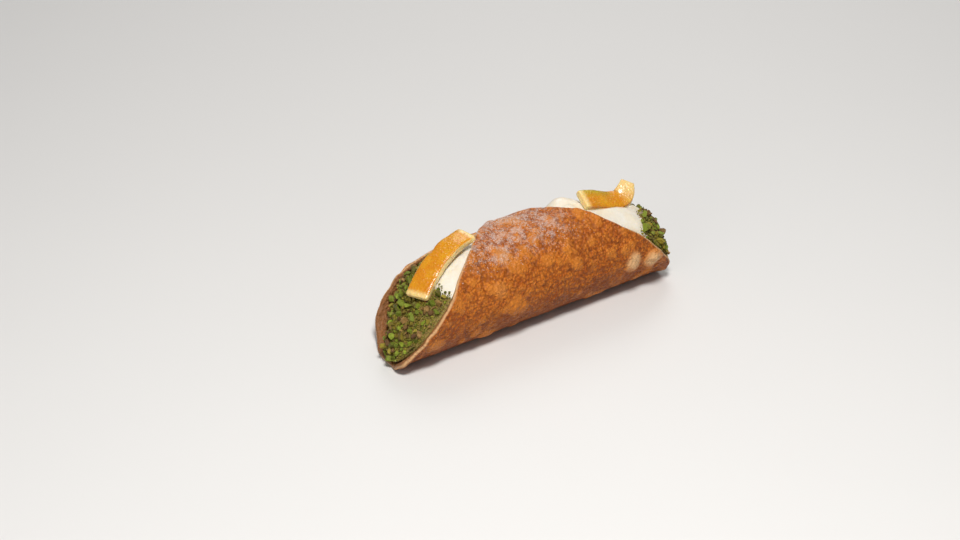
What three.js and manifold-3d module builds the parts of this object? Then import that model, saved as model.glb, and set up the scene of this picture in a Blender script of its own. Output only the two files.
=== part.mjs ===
// A cannolo: a fried pastry tube whose two flaps wrap over each other on top, filled with ricotta
// cream. Both mouths slant back from the underside to the top. Chopped pistachio coats the cream at
// both ends, and a strip of candied orange peel lies on it in each mouth.
//
// Millimetres, +Z up. The tube runs along X and stands on z = 0. An angle round the tube is in
// degrees from its top, growing towards -Y, the front.

import * as THREE from "three";
import { mergeVertices } from "three/addons/utils/BufferGeometryUtils.js";
import Module from "manifold-3d";

// ---- the pastry's dimensions ----

const HALF_LENGTH = 70; // of the underside, where the pastry is longest
const OUTER_RADIUS = 20.7;
const WALL = 2;
const AXIS_HEIGHT = 19.8; // less than the radius, so the tube stands on a narrow flat strip

const WRAP_CENTRE = 140; // the angle at which the oval of dough is longest
const OUTER_REACH = 192; // degrees that the outer flap winds on, over the front and the top
const OUTER_TAPER = 0.433; // lost from its half length with each degree
const OUTER_SOFTENING = 35; // degrees over which the taper sets in
const OUTER_TIP = 16; // degrees of rounded tip
const OUTER_TIP_HALF_WIDTH = 1.6; // where it ends
const INNER_REACH = 225; // degrees after which the inner flap, up the back, would come to a point
const INNER_CUT = 208; // degrees after which it ends, under the outer flap
const INNER_POWER = 2.3; // how late it tapers

const LIFT = 1; // of the outer flap, where it lies on the inner one
const LIFT_WINDINGS = [95, 135]; // degrees over which it rises
const TUCK = 0.7; // of the inner flap there, towards the axis
const TUCK_WINDINGS = [130, 165];
const LIP_FLARE = 0.5;
const LIP_FLARE_LENGTH = 9;
const LIP_WAVE = 0.8; // how far a lip strays from its even line
const LIP_WAVES = 5; // round the tube
const LIP_WAVE_SHIFT = 70; // degrees between the two ends' waves
const LIP_WAVE_FADE = 20; // the half length under which a flap's waves die away

const BLISTERS = 28;
const BLISTER_ZONE = 62; // they lie this far to either side of mid length
const BLISTER_JITTER = 8; // degrees
const BLISTER_RADIUS = [4, 7.5];
const BLISTER_HEIGHT = [0.5, 1.1];
// Two large pale blisters lie side by side on the front, near the far lip.
const FRONT_BLISTERS = [
  { x: 45.5, angle: 96.5, radius: 6.2, height: 1.3 },
  { x: 55.5, angle: 101, radius: 5.6, height: 1.25 },
];

const FLAP_ROWS = 22;
const FLAP_COLUMNS = 22;

// ---- the dimensions of what fills it ----

const CLEARANCE = 0.35; // between pieces that lie against each other
const CREAM_SETBACK = 1; // of the cream's rim, behind the lip
const MOUTH_SLOPE = 52; // degrees that a mouth's face leans up from the vertical
const NEAR_HEAP = 4; // of the cream above a level scrape of the near mouth, at -X
const NEAR_SQUARENESS = 4; // how steeply that heap rises from its rim
const BACK_RECESS = [3, 5]; // of the near cream behind the back lip, high up and low down
const FAR_POLE = 69.5; // the far cream is a blunt plug that reaches this far out
const FAR_BLUNTNESS = 0.95; // less is blunter

const CRUMBS = 96; // spread over each mouth, before the bare cream's share is left out
const CRUMB_RADIUS = [1.5, 2.5];
const CRUMB_STRETCH = [0.6, 1];
const CRUMB_SINK = 0.55; // of its radius
const CRUMB_JITTER = 6; // degrees
const NEAR_COAT = 47; // crumbs coat the cream that lies further out than this, in front
const FAR_COAT = 55;

const PEEL_WIDTH = 9.8;
const PEEL_THICKNESS = 3.6;
const PEEL_TAPER = 0.3; // lost from its section at either end
const PEEL_TAPER_POWER = 6; // how late
const PEEL_STEPS = 12;

const CREAM_SIDES = 36;
const HEAP_SHARES = [0.18, 0.38, 0.6, 0.8, 0.93, 1]; // of the radius, from the middle to the rim
const BARREL_STEPS = 6;

// ---- small helpers ----

function radians(degrees) {
  return THREE.MathUtils.degToRad(degrees);
}

function ramp(from, to, value) {
  return THREE.MathUtils.smoothstep((value - from) / (to - from), 0, 1);
}

// The same angle between -180 and 180 degrees.
function wrapped(angle) {
  return THREE.MathUtils.euclideanModulo(angle + 180, 360) - 180;
}

// Repeatable draws between two bounds.
function drawer(seed) {
  let state = seed;
  return (low, high) => {
    state = (state * 1664525 + 1013904223) % 2 ** 32;
    return low + ((high - low) * state) / 2 ** 32;
  };
}

// The point at x along the tube, at an angle round it and a radius from its axis.
function onTube(x, angle, radius) {
  const y = -radius * Math.sin(radians(angle));
  const z = AXIS_HEIGHT + radius * Math.cos(radians(angle));
  return new THREE.Vector3(x, y, z);
}

function bodyFrom(points, faces) {
  const geometry = new THREE.BufferGeometry().setFromPoints(points);
  geometry.setIndex(faces);
  return geometry;
}

// The faces between rings of points, each of which closes on itself.
function ringFaces(rings, around) {
  const faces = [];
  for (let ring = 0; ring < rings - 1; ring += 1) {
    for (let i = 0; i < around; i += 1) {
      const a = ring * around + i;
      const b = ring * around + ((i + 1) % around);
      faces.push(a, b, b + around, a, b + around, a + around);
    }
  }
  return faces;
}

// A closed body through rings of points, with a fan to a pole at either end.
function loft(rings, firstPole, lastPole) {
  const around = rings[0].length;
  const faces = ringFaces(rings.length, around);
  const lastRing = (rings.length - 1) * around;
  const first = rings.length * around;
  const last = first + 1;
  for (let i = 0; i < around; i += 1) {
    const next = (i + 1) % around;
    faces.push(first, next, i, last, lastRing + i, lastRing + next);
  }
  return bodyFrom([...rings.flat(), firstPole, lastPole], faces);
}

// A closed sheet through rings of points, each of which goes out along one face of the sheet and
// back along the other.
function sheet(rings) {
  const around = rings[0].length;
  const faces = ringFaces(rings.length, around);
  const lastRing = (rings.length - 1) * around;
  for (let i = 0; i < around / 2 - 1; i += 1) {
    const across = around - 1 - i;
    faces.push(i, across, i + 1, i + 1, across, across - 1);
    const [a, b, c, d] = [i, i + 1, across, across - 1].map((corner) => lastRing + corner);
    faces.push(a, b, c, b, d, c);
  }
  return bodyFrom(rings.flat(), faces);
}

// ---- joining and cutting ----

const library = await Module();
library.setup();

function solidOf(geometry) {
  const bare = geometry.clone();
  bare.deleteAttribute("normal");
  bare.deleteAttribute("uv");
  const merged = mergeVertices(bare);
  const mesh = new library.Mesh({
    numProp: 3,
    vertProperties: new Float32Array(merged.attributes.position.array),
    triVerts: new Uint32Array(merged.index.array),
  });
  return new library.Manifold(mesh);
}

function geometryOf(solid) {
  const mesh = solid.getMesh();
  const geometry = new THREE.BufferGeometry();
  geometry.setAttribute("position", new THREE.BufferAttribute(mesh.vertProperties, 3));
  geometry.setIndex(new THREE.BufferAttribute(mesh.triVerts, 1));
  return geometry;
}

// ---- the pastry ----

// Half the length of each flap, at a winding in degrees from the middle of the wrap.
function outerHalfLength(winding) {
  const fall = Math.hypot(winding, OUTER_SOFTENING) - OUTER_SOFTENING;
  const intoTip = Math.max(winding - OUTER_REACH + OUTER_TIP, 0) / OUTER_TIP;
  const half = (HALF_LENGTH - OUTER_TAPER * fall) * Math.sqrt(1 - intoTip ** 2);
  return Math.max(half, OUTER_TIP_HALF_WIDTH);
}

function innerHalfLength(winding) {
  return HALF_LENGTH * (1 - (winding / INNER_REACH) ** INNER_POWER);
}

// How far each flap stands out from the plain tube.
function outerOffset(winding) {
  return LIFT * ramp(...LIFT_WINDINGS, winding);
}

function innerOffset(winding) {
  return -TUCK * ramp(...TUCK_WINDINGS, winding);
}

// The winding of each flap at an angle round the tube.
function outerWindingAt(angle) {
  return WRAP_CENTRE - wrapped(angle);
}

function innerWindingAt(angle) {
  return THREE.MathUtils.euclideanModulo(angle - WRAP_CENTRE, 360);
}

// A flap's edge is never quite straight. The end is -1 for the near one and 1 for the far one.
function wavyEdge(half, angle, end) {
  const wave = Math.sin(radians(LIP_WAVES * angle + LIP_WAVE_SHIFT * end));
  return half + LIP_WAVE * wave * Math.sin(radians(2 * angle)) * ramp(0, LIP_WAVE_FADE, half);
}

// A lip's distance from mid length at an angle round the tube, whichever flap reaches further.
function lipAt(angle, end) {
  const outerWinding = outerWindingAt(angle);
  const innerWinding = innerWindingAt(angle);
  const outerReaches = outerWinding >= 0 && outerWinding <= OUTER_REACH;
  const outer = outerReaches ? outerHalfLength(outerWinding) : 0;
  const inner = innerWinding <= INNER_CUT ? innerHalfLength(innerWinding) : 0;
  return wavyEdge(Math.max(outer, inner), angle, end);
}

const drawBlister = drawer(11);
const blisters = Array.from({ length: BLISTERS }, (_, i) => ({
  x: drawBlister(-BLISTER_ZONE, BLISTER_ZONE),
  angle: (i * 360) / BLISTERS + drawBlister(-BLISTER_JITTER, BLISTER_JITTER),
  radius: drawBlister(...BLISTER_RADIUS),
  height: drawBlister(...BLISTER_HEIGHT),
})).concat(FRONT_BLISTERS);

function blisterRelief(x, angle) {
  let relief = 0;
  for (const blister of blisters) {
    const arc = radians(wrapped(angle - blister.angle)) * OUTER_RADIUS;
    const share = Math.hypot(x - blister.x, arc) / blister.radius;
    relief += share < 1 ? blister.height * (1 - share ** 2) ** 2 : 0;
  }
  return relief;
}

// The point at a depth under the pastry's outer face, flat where the tube stands.
function inPastry(x, angle, radius, depth) {
  const point = onTube(x, angle, radius - depth);
  point.z = Math.max(point.z, depth);
  return point;
}

// One flap, wound from the middle of the wrap to its tip: towards the front and the top where the
// direction is -1, and up the back where it is 1.
function flap(direction, reach, halfLength, offset) {
  const rings = [];
  for (let row = 0; row <= FLAP_ROWS; row += 1) {
    const winding = (reach * row) / FLAP_ROWS;
    const angle = WRAP_CENTRE + direction * winding;
    const half = halfLength(winding);
    const near = -wavyEdge(half, angle, -1);
    const far = wavyEdge(half, angle, 1);
    const outside = [];
    const inside = [];
    for (let column = 0; column <= FLAP_COLUMNS; column += 1) {
      const x = THREE.MathUtils.lerp(near, far, column / FLAP_COLUMNS);
      const flare = LIP_FLARE * (1 - ramp(0, LIP_FLARE_LENGTH, Math.min(x - near, far - x)));
      const radius = OUTER_RADIUS + offset(winding) + flare;
      outside.push(inPastry(x, angle, radius + blisterRelief(x, angle), 0));
      inside.push(inPastry(x, angle, radius, WALL));
    }
    rings.push([...outside, ...inside.reverse()]);
  }
  return sheet(direction < 0 ? rings : rings.reverse());
}

function shell() {
  const outer = solidOf(flap(-1, OUTER_REACH, outerHalfLength, outerOffset));
  const inner = solidOf(flap(1, INNER_CUT, innerHalfLength, innerOffset));
  return outer.add(inner);
}

// ---- the cream ----

// The cream's radius inside the pastry. It follows the inner flap to just past its end, and then
// swells out to the outer one.
function creamRadius(angle) {
  const innerEnd = wrapped(WRAP_CENTRE + INNER_CUT);
  const pastEnd = ramp(innerEnd + 3, innerEnd + 13, wrapped(angle));
  const inner = innerOffset(innerWindingAt(angle)) * (1 - pastEnd);
  const outer = outerOffset(outerWindingAt(angle)) * pastEnd;
  return OUTER_RADIUS - WALL - CLEARANCE + inner + outer;
}

// How far out a level scrape from lip to lip across the near mouth lies, at y and z.
function scrapeAt(y, z) {
  const bore = OUTER_RADIUS - WALL;
  const rise = THREE.MathUtils.clamp((z - AXIS_HEIGHT) / bore, -0.999, 0.999);
  const angle = THREE.MathUtils.radToDeg(Math.acos(rise));
  const halfWidth = bore * Math.sqrt(1 - rise ** 2);
  const frontShare = THREE.MathUtils.clamp(0.5 - y / (2 * halfWidth), 0, 1);
  return THREE.MathUtils.lerp(lipAt(-angle, -1), lipAt(angle, -1), frontShare);
}

// The way a mouth faces.
function mouthNormal(end) {
  return new THREE.Vector3(end * Math.cos(radians(MOUTH_SLOPE)), 0, Math.sin(radians(MOUTH_SLOPE)));
}

// The near cream leaves the pastry's inside bare along the back lip. Low down, it falls away from
// its middle on.
function backRecess(angle, share) {
  const { lerp } = THREE.MathUtils;
  const turned = -wrapped(angle);
  const atBack = ramp(25, 70, turned) * (1 - ramp(162, 178, turned));
  const low = ramp(80, 115, turned);
  const sunk = ramp(lerp(0.6, 0.05, low), lerp(0.97, 0.65, low), share);
  return lerp(...BACK_RECESS, low) * atBack * sunk;
}

// The near cream lies on the slant of its mouth, a little heaped.
function onNearHeap(angle, share) {
  const point = onTube(0, angle, creamRadius(angle) * share);
  point.z = Math.max(point.z, WALL + CLEARANCE);
  point.x = CREAM_SETBACK + backRecess(angle, share) - scrapeAt(point.y, point.z);
  return point.addScaledVector(mouthNormal(-1), NEAR_HEAP * (1 - share ** NEAR_SQUARENESS));
}

// The far cream runs on past the slant of its mouth, about as wide as the tube, to a blunt end.
function onFarHeap(angle, share) {
  const turn = radians(90 * (1 - share));
  const out = Math.sin(turn) ** FAR_BLUNTNESS;
  const x = THREE.MathUtils.lerp(lipAt(angle, 1) - CREAM_SETBACK, FAR_POLE, out);
  const point = onTube(x, angle, creamRadius(angle) * Math.cos(turn));
  point.z = Math.max(point.z, WALL + CLEARANCE);
  return point;
}

// The point on a mouth's cream at an angle, and at a share of the way from its middle to its rim.
function onHeap(end, angle, share) {
  return end < 0 ? onNearHeap(angle, share) : onFarHeap(angle, share);
}

function creamCore() {
  const angles = Array.from({ length: CREAM_SIDES }, (_, i) => (360 * i) / CREAM_SIDES);
  const heapRings = (end) => HEAP_SHARES.map((share) => angles.map((a) => onHeap(end, a, share)));
  const near = heapRings(-1);
  const far = heapRings(1).reverse();
  const barrel = [];
  for (let step = 1; step < BARREL_STEPS; step += 1) {
    const along = step / BARREL_STEPS;
    barrel.push(near.at(-1).map((point, i) => point.clone().lerp(far[0][i], along)));
  }
  return loft([...near, ...barrel, ...far], onHeap(-1, 0, 0), onHeap(1, 0, 0));
}

// ---- the candied peels ----

// The middle line of each strip, from the top of the tube outwards, and the degrees that it is
// rolled towards the front. The far one curls up at its end.
const PEEL_NEAR = {
  roll: 0,
  line: [
    new THREE.Vector3(-24, 2.6, 42.8),
    new THREE.Vector3(-35, 1.1, 40.5),
    new THREE.Vector3(-46, -1.5, 34.9),
    new THREE.Vector3(-56, -5.6, 27.6),
  ],
};
const PEEL_FAR = {
  roll: 25,
  line: [
    new THREE.Vector3(33.8, 0.5, 41.3),
    new THREE.Vector3(42.5, 0, 38.8),
    new THREE.Vector3(50, 0, 36.1),
    new THREE.Vector3(55.4, -0.2, 36.3),
    new THREE.Vector3(60.3, 2.2, 41.2),
  ],
};

// The corners of a strip's section, in halves of its width and thickness.
const PEEL_SECTION = [
  [-1, 0],
  [-0.8, -0.9],
  [0, -1],
  [0.8, -0.9],
  [1, 0],
  [0.8, 0.9],
  [0, 1],
  [-0.8, 0.9],
];

// A flat strip laid along its line, larger all round by a growth.
function peelStrip({ line, roll }, growth) {
  const curve = new THREE.CatmullRomCurve3(line);
  const rings = [];
  for (let step = 0; step <= PEEL_STEPS; step += 1) {
    const along = step / PEEL_STEPS;
    const ahead = curve.getTangentAt(along);
    const across = new THREE.Vector3(0, 0, 1).cross(ahead).normalize();
    across.applyAxisAngle(ahead, radians(roll));
    const up = ahead.clone().cross(across);
    const taper = 1 - PEEL_TAPER * Math.abs(2 * along - 1) ** PEEL_TAPER_POWER;
    const ring = PEEL_SECTION.map(([side, rise]) => {
      const point = curve.getPointAt(along);
      point.addScaledVector(across, side * (taper * PEEL_WIDTH * 0.5 + growth));
      return point.addScaledVector(up, rise * (taper * PEEL_THICKNESS * 0.5 + growth));
    });
    rings.push(ring);
  }
  const pole = (along, way) => {
    return curve.getPointAt(along).addScaledVector(curve.getTangentAt(along), way * (1 + growth));
  };
  return loft(rings, pole(0, -1), pole(1, 1));
}

// ---- the crumbs ----

const GOLDEN_ANGLE = 180 * (3 - Math.sqrt(5));

// Points that a crumb has to keep clear of: the lips, and the middle lines of the peels.
function obstacles() {
  const points = [];
  for (let angle = -180; angle < 180; angle += 4) {
    for (const end of [-1, 1]) {
      for (const depth of [0, WALL / 2, WALL]) {
        const point = inPastry(end * lipAt(angle, end), angle, OUTER_RADIUS + LIP_FLARE, depth);
        points.push({ point, room: CLEARANCE });
      }
    }
  }
  for (const { line } of [PEEL_NEAR, PEEL_FAR]) {
    for (const point of new THREE.CatmullRomCurve3(line).getSpacedPoints(30)) {
      points.push({ point, room: PEEL_WIDTH * 0.5 });
    }
  }
  return points;
}

// How far out the coat of crumbs starts, which is furthest at the top of the far mouth.
function coatStart(end, y) {
  const atBack = ramp(1, 9, y);
  return end < 0 ? NEAR_COAT - 10 * atBack : FAR_COAT + 11 * ramp(-14, -1, y) - 6 * atBack;
}

function crumbs(end, seed) {
  const draw = drawer(seed);
  const blocked = obstacles();
  const solids = [];
  for (let i = 0; i < CRUMBS; i += 1) {
    const radius = draw(...CRUMB_RADIUS);
    const edge = 1 - radius / (OUTER_RADIUS - WALL);
    const share = Math.min(Math.sqrt((i + 0.5) / CRUMBS), edge);
    const angle = i * GOLDEN_ANGLE + draw(-CRUMB_JITTER, CRUMB_JITTER);
    const centre = onHeap(end, angle, share);
    centre.addScaledVector(mouthNormal(end), radius * (1 - CRUMB_SINK));
    const turn = new THREE.Euler(draw(0, Math.PI), draw(0, Math.PI), draw(0, Math.PI));
    const stretch = new THREE.Vector3(1, draw(...CRUMB_STRETCH), draw(...CRUMB_STRETCH));
    const bare = Math.abs(centre.x) < coatStart(end, centre.y);
    const crowded = blocked.some(({ point, room }) => point.distanceTo(centre) < radius + room);
    if (!bare && !crowded) {
      const place = new THREE.Matrix4();
      place.compose(centre, new THREE.Quaternion().setFromEuler(turn), stretch);
      solids.push(solidOf(new THREE.IcosahedronGeometry(radius, 0).applyMatrix4(place)));
    }
  }
  return solids;
}

function filling() {
  let body = solidOf(creamCore());
  for (const crumb of [...crumbs(-1, 5), ...crumbs(1, 23)]) {
    body = body.add(crumb);
  }
  for (const peel of [PEEL_NEAR, PEEL_FAR]) {
    body = body.subtract(solidOf(peelStrip(peel, CLEARANCE)));
  }
  // What a trough cuts loose from a crumb is dropped.
  const [largest] = body.decompose().sort((a, b) => b.volume() - a.volume());
  return largest;
}

// ---- the cannolo ----

const PASTRY_FINISH = { color: 0xb06a30, roughness: 0.7, metalness: 0 };
const CREAM_FINISH = { color: 0xf2eddd, roughness: 0.5, metalness: 0 };
const PEEL_FINISH = { color: 0xec8f1c, roughness: 0.3, metalness: 0 };

function piece(name, geometry, finish) {
  const mesh = new THREE.Mesh(geometry, new THREE.MeshStandardMaterial(finish));
  mesh.name = name;
  return mesh;
}

// The crumbs and the blisters stand out a little further on some sides than on others, so the
// tube's own middle isn't that of the whole.
const cannolo = new THREE.Group();
cannolo.position.set(-0.2, 0.4, 0);
cannolo.add(piece("shell", geometryOf(shell()), PASTRY_FINISH));
cannolo.add(piece("filling", geometryOf(filling()), CREAM_FINISH));
cannolo.add(piece("peel_near", peelStrip(PEEL_NEAR, 0), PEEL_FINISH));
cannolo.add(piece("peel_far", peelStrip(PEEL_FAR, 0), PEEL_FINISH));

export default cannolo;
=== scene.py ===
"""A filled cannolo: fried pastry, ricotta cream, chopped pistachio, candied peel and icing sugar.

Lengths are in millimetres until a mesh is made. The tube runs along X and stands on z = 0. An end
is -1 for the near mouth and 1 for the far one. An angle round the tube is in degrees from its top,
growing towards -Y, the front. A turn is an angle along the wound dough: 0 where the wrap is
longest, negative on the inner flap, positive on the outer.
"""

import itertools
import math

import bmesh
import bpy
import numpy as np
from bpy.props import FloatProperty, FloatVectorProperty, IntProperty, PointerProperty
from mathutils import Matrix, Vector


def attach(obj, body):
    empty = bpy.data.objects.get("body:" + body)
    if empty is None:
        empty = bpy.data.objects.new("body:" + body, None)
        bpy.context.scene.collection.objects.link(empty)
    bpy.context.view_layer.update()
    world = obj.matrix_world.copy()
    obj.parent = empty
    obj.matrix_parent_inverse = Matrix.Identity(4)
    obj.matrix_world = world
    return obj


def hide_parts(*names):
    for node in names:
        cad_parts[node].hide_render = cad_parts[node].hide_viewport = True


bl_info = {
    "name": "Cannolo",
    "version": (1, 0, 0),
    "blender": (4, 5, 0),
    "location": "View3D > Sidebar > Cannolo",
    "description": "Dresses a cannolo's frame with pastry, cream, pistachio, peel and sugar",
    "category": "Add Mesh",
}

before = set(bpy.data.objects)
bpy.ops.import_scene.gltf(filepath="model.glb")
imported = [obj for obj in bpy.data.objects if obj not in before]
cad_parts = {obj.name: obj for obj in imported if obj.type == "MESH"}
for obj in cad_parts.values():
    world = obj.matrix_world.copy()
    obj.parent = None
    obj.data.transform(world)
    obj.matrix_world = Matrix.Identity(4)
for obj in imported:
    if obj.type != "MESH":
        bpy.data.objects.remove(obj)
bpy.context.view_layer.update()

MM = 0.001

# ---- the tube, as the frame has it ----

TUBE_PLACE = (-0.2, 0.4, 0.0)  # its own middle isn't quite that of the whole
HALF_LENGTH = 70.0
OUTER_RADIUS = 20.7
WALL = 2.0
AXIS_HEIGHT = 19.8
WRAP_CENTRE = 140.0
OUTER_REACH = 192.0
OUTER_TAPER = 0.433
OUTER_SOFTENING = 35.0
OUTER_TIP = 16.0
OUTER_TIP_HALF_WIDTH = 1.6
INNER_REACH = 225.0
INNER_CUT = 208.0
INNER_POWER = 2.3
LIFT = 1.0
LIFT_TURNS = (95.0, 135.0)
TUCK = 0.7
TUCK_TURNS = (130.0, 165.0)
LIP_FLARE = 0.5
LIP_FLARE_LENGTH = 9.0
LIP_WAVE = 0.8
LIP_WAVES = 5
LIP_WAVE_SHIFT = 70.0
LIP_WAVE_FADE = 20.0
ARC = math.radians(1.0) * OUTER_RADIUS  # the arc of one degree

# The broad blisters, and two pale ones on the front near the far lip: x, angle, radius, height.
BLISTERS = 28
BLISTER_SEED = 11
BLISTER_ZONE = 62.0
BLISTER_JITTER = 8.0
BLISTER_RADII = (4.0, 7.5)
BLISTER_HEIGHTS = (0.5, 1.1)
PALE_BLISTERS = ((45.5, 96.5, 6.2, 1.3), (55.5, 101.0, 5.6, 1.25))

# ---- the cream and the peels, as the frame has them ----

CREAM_CLEARANCE = 0.35
CREAM_SETBACK = 1.0
MOUTH_SLOPE = math.radians(52.0)
NEAR_HEAP = 4.0
NEAR_SQUARENESS = 4
# The near cream's recess behind the back lip, high up and low down, and where it lies: degrees
# behind the top where it begins, ends and deepens, and shares of the way out to the rim.
BACK_RECESS = (3.0, 5.0)
RECESS_BEGINS = (25.0, 70.0)
RECESS_ENDS = (162.0, 178.0)
RECESS_DEEPENS = (80.0, 115.0)
RECESS_STARTS = (0.6, 0.05)
RECESS_LENGTHS = (0.37, 0.6)
FAR_POLE = 69.5
FAR_BLUNTNESS = 0.95
NEAR_COAT = 47.0
FAR_COAT = 55.0
COAT_BACK = (1.0, 9.0)  # the y over which both coats widen towards the back
NEAR_COAT_WIDENING = 10.0
FAR_COAT_WIDENING = 6.0
FAR_COAT_FRONT = (-14.0, -1.0)  # the y over which the far coat narrows from the front
FAR_COAT_NARROWING = 11.0
PEEL_WIDTH = 9.8
PEEL_THICKNESS = 3.6
# The middle line of the strip in each mouth, and its roll towards the front.
PEELS = {
    -1: (((-24.0, 2.6, 42.8), (-35, 1.1, 40.5), (-46, -1.5, 34.9), (-56, -5.6, 27.6)), 0.0),
    1: (
        ((33.8, 0.5, 41.3), (42.5, 0, 38.8), (50, 0, 36.1), (55.4, -0.2, 36.3), (60.3, 2.2, 41.2)),
        25.0,
    ),
}

# ---- small helpers ----

DRAW_FACTOR, DRAW_STEP = 1664525, 1013904223
HASH_AXES = (73856093, 19349663, 83492791)
HASH_SEED = 2654435761
HASH_ROUNDS = ((15, 2246822519), (13, 3266489917))
HASH_BITS = 0xFFFFFFFF
NOISES = {
    # what it shapes: (the size of its blobs, its seed, its layers)
    "near lip": (7.0, 41, 3),
    "far lip": (7.0, 42, 3),
    "blisters along": (5.0, 3, 3),
    "blisters round": (5.0, 7, 3),
    "small bubbles": (14.0, 19, 3),
    "dough's swells": (22.0, 23, 3),
    "dough's grain": (1.6, 29, 2),
    "lip's lumps": (4.0, 37, 2),
    "inside dents": (3.0, 31, 3),
    "cream's lumps": (7.5, 51, 3),
    "cream's grain": (1.5, 57, 2),
    "coat's edge": (6.0, 61, 2),
    "sugar's patches": (8.0, 91, 3),
}


def ramp(start, end, value):
    """0 before start, 1 after end, and smooth between them."""
    share = np.clip((np.asarray(value, float) - start) / (end - start), 0.0, 1.0)
    return share * share * (3.0 - 2.0 * share)


def lerp(a, b, share):
    return a + (b - a) * share


def wrapped(angle):
    return np.mod(np.asarray(angle, float) + 180.0, 360.0) - 180.0


def unit(vectors):
    return vectors / np.linalg.norm(vectors, axis=-1, keepdims=True)


def on_tube(x, angle, radius):
    """The points at x along the tube, at an angle round it and a radius from its axis."""
    x, angle, radius = np.broadcast_arrays(x, np.radians(angle), radius)
    y = -radius * np.sin(angle)
    z = AXIS_HEIGHT + radius * np.cos(angle)
    return np.stack((x, y, z), axis=-1).astype(float)


def frame_draws(seed):
    """The frame's own repeatable draws between two bounds."""
    state = seed

    def draw(low, high):
        nonlocal state
        state = (state * DRAW_FACTOR + DRAW_STEP) % 2**32
        return low + (high - low) * state / 2**32

    return draw


def value_noise(points, size, seed):
    """Smooth noise from -1 to 1, with blobs of about this size."""
    scaled = np.asarray(points, float) / size
    cell = np.floor(scaled).astype(np.int64)
    share = scaled - cell
    share = share * share * (3.0 - 2.0 * share)
    total = np.zeros(scaled.shape[:-1])
    for corner in itertools.product((0, 1), repeat=3):
        mixed = np.bitwise_xor.reduce((cell + corner) * HASH_AXES, axis=-1)
        mixed = (mixed ^ (seed * HASH_SEED)) & HASH_BITS
        for shift, factor in HASH_ROUNDS:
            mixed = ((mixed ^ (mixed >> shift)) * factor) & HASH_BITS
        value = (mixed ^ (mixed >> 16)) / 2.0**31 - 1.0
        total += np.where(corner, share, 1.0 - share).prod(axis=-1) * value
    return total


def layered_noise(points, size, seed, layers):
    """Noise in layers, each half as large and half as strong as the one before."""
    total = np.zeros(np.shape(points)[:-1])
    for layer in range(layers):
        total += value_noise(points, size / 2**layer, seed + layer) / 2**layer
    return total


def noise(name, points):
    """One of the named noises at each point."""
    return layered_noise(points, *NOISES[name])


def quads_between(points, following):
    """The quads that join rows of points to each other and to the points that follow each one."""
    corners = (points[:-1], following[:-1], following[1:], points[1:])
    return np.stack(corners, axis=-1).reshape(-1, 4).tolist()


def tube_faces(rings, sides):
    """The faces of a tube of rings, each end closing on a point that comes after the rings' own."""
    index = np.arange(rings * sides).reshape(rings, sides)
    turned = np.roll(index, -1, axis=1)
    faces = quads_between(index, turned)
    for first, second, third, fourth in zip(index[0], turned[0], index[-1], turned[-1]):
        faces.append([index.size, second, first])
        faces.append([index.size + 1, third, fourth])
    return faces


# ---- the dough's outline ----


def outer_half_length(turn):
    """Half the outer flap's length at a turn from the middle of the wrap."""
    fall = np.hypot(turn, OUTER_SOFTENING) - OUTER_SOFTENING
    into_tip = np.clip(turn - OUTER_REACH + OUTER_TIP, 0.0, OUTER_TIP) / OUTER_TIP
    half = (HALF_LENGTH - OUTER_TAPER * fall) * np.sqrt(1.0 - into_tip**2)
    return np.maximum(half, OUTER_TIP_HALF_WIDTH)


def inner_half_length(turn):
    return HALF_LENGTH * (1.0 - (np.clip(turn, 0.0, INNER_REACH) / INNER_REACH) ** INNER_POWER)


def outer_offset(turn):
    return LIFT * ramp(*LIFT_TURNS, turn)


def inner_offset(turn):
    return -TUCK * ramp(*TUCK_TURNS, turn)


def half_length(turn):
    return np.where(turn < 0.0, inner_half_length(-turn), outer_half_length(turn))


def offset(turn):
    """How far the dough stands out from the plain tube."""
    return np.where(turn < 0.0, inner_offset(-turn), outer_offset(turn))


def wavy_edge(half, angle, end):
    wave = np.sin(np.radians(LIP_WAVES * angle + LIP_WAVE_SHIFT * end))
    fade = np.sin(np.radians(2.0 * angle)) * ramp(0.0, LIP_WAVE_FADE, half)
    return half + LIP_WAVE * wave * fade


def lip_at(angle, end):
    """A lip's distance from mid length at an angle, whichever flap reaches further."""
    outer_turn = WRAP_CENTRE - wrapped(angle)
    inner_turn = np.mod(np.asarray(angle, float) - WRAP_CENTRE, 360.0)
    outer_there = (outer_turn >= 0.0) & (outer_turn <= OUTER_REACH)
    outer = np.where(outer_there, outer_half_length(np.clip(outer_turn, 0.0, OUTER_REACH)), 0.0)
    inner = np.where(inner_turn <= INNER_CUT, inner_half_length(inner_turn), 0.0)
    return wavy_edge(np.maximum(outer, inner), angle, end)


# ---- making a piece ----

SHARP_EDGE = math.radians(34.0)


def new_piece(context, name, shape, material, domain="POINT"):
    """A mesh that rides on the frame's one body, from a shape's points, faces and masks.

    Its points are in millimetres along the tube. Its masks have a value for each point, or for
    each face of a mesh with sharp edges."""
    points, faces, masks = shape
    placed = (np.asarray(points, float) + TUBE_PLACE) * MM
    mesh = bpy.data.meshes.new(name)
    mesh.from_pydata(placed.tolist(), [], [list(map(int, face)) for face in faces])
    if mesh.validate(verbose=False):
        raise ValueError(f"{name} has faces that can't be used")
    mesh.shade_smooth()
    if domain == "FACE":
        mesh.set_sharp_from_angle(angle=SHARP_EDGE)
    for label, values in masks.items():
        held = mesh.attributes.new(label, "FLOAT", domain)
        held.data.foreach_set("value", np.asarray(values, np.float32).ravel())
    mesh.materials.append(material)
    piece = bpy.data.objects.new(name, mesh)
    context.scene.collection.objects.link(piece)
    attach(piece, "root")
    return piece


def colour_property(name, description, colour):
    """A colour that the sidebar shows as a swatch."""
    return FloatVectorProperty(name=name, description=description, subtype="COLOR", default=colour)


# ---- shader nodes ----


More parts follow.
